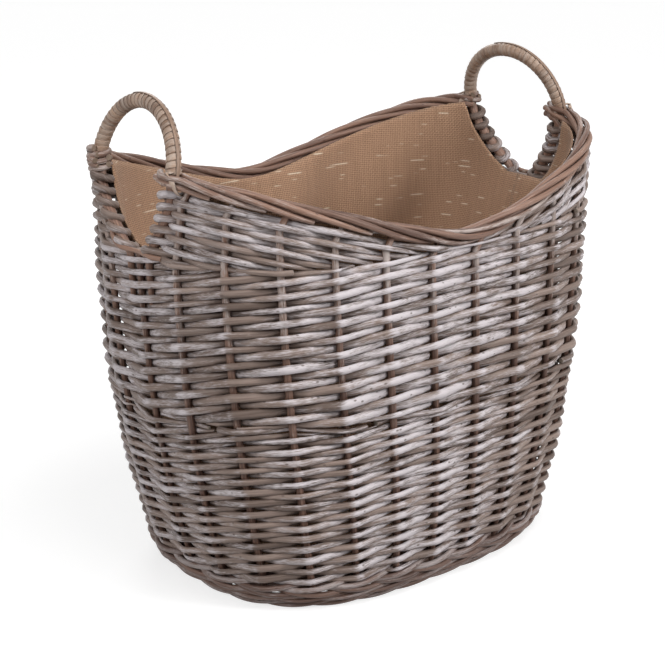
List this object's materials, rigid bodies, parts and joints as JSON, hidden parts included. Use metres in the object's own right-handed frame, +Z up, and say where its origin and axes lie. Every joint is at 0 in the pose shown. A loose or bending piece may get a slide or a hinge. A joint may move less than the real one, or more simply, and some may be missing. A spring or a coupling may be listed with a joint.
{
  "type": "lined basket",
  "caption": "Oval willow log basket with raised ends, two wrapped hoop handles over hand notches and a loose hessian lining.",
  "frame": {"origin": "on the floor under the middle of the base", "axes": "+X along the basket's length to its right-hand handle, -Y to its front, +Z up"},
  "size_m": [0.5862, 0.399, 0.5436],
  "materials": {
    "brown_bark_willow": "dry willow bark, lightly washed brown",
    "washed_willow": "willow rods with a thin lilac-grey lime wash, brown bark showing through",
    "wrapped_skein": "split flat skein, smooth and a little glossy",
    "hessian": "coarse plain-woven jute, matt"
  },
  "bodies": {
    "root": {"base_cross_stick_1": "brown_bark_willow", "base_cross_stick_2": "brown_bark_willow", "base_cross_stick_3": "brown_bark_willow", "base_cross_stick_4": "brown_bark_willow", "base_cross_stick_5": "brown_bark_willow", "base_long_stick_back": "brown_bark_willow", "base_long_stick_front": "brown_bark_willow", "base_long_stick_middle": "brown_bark_willow", "base_edge_rod": "washed_willow", "base_weaver_a": "washed_willow", "base_weaver_b": "washed_willow", "foot_hoop": "brown_bark_willow", "foot_wale_a": "brown_bark_willow", "foot_wale_b": "brown_bark_willow", "side_stake_01": "brown_bark_willow", "side_stake_02": "brown_bark_willow", "side_stake_03": "brown_bark_willow", "side_stake_04": "brown_bark_willow", "side_stake_05": "brown_bark_willow", "side_stake_06": "brown_bark_willow", "side_stake_07": "brown_bark_willow", "side_stake_08": "brown_bark_willow", "side_stake_09": "brown_bark_willow", "side_stake_10": "brown_bark_willow", "side_stake_11": "brown_bark_willow", "side_stake_12": "brown_bark_willow", "side_stake_13": "brown_bark_willow", "side_stake_14": "brown_bark_willow", "side_stake_15": "brown_bark_willow", "side_stake_16": "brown_bark_willow", "side_stake_17": "brown_bark_willow", "side_stake_18": "brown_bark_willow", "side_stake_19": "brown_bark_willow", "side_stake_20": "brown_bark_willow", "side_stake_21": "brown_bark_willow", "side_stake_22": "brown_bark_willow", "side_stake_23": "brown_bark_willow", "side_stake_24": "brown_bark_willow", "end_stake_left": "brown_bark_willow", "end_stake_right": "brown_bark_willow", "lower_weaver_a": "washed_willow", "lower_weaver_b": "washed_willow", "upper_weaver_a": "washed_willow", "upper_weaver_b": "washed_willow", "corner_packing_back_left": "washed_willow", "corner_packing_back_right": "washed_willow", "corner_packing_front_left": "washed_willow", "corner_packing_front_right": "washed_willow", "border_starter_back_1": "brown_bark_willow", "border_starter_back_2": "brown_bark_willow", "border_starter_back_3": "brown_bark_willow", "border_starter_front_1": "brown_bark_willow", "border_starter_front_2": "brown_bark_willow", "border_starter_front_3": "brown_bark_willow", "handle_bow_left": "brown_bark_willow", "handle_wrap_left": "wrapped_skein", "handle_bow_right": "brown_bark_willow", "handle_wrap_right": "wrapped_skein", "hessian_lining": "hessian"}
  },
  "joints": []
}
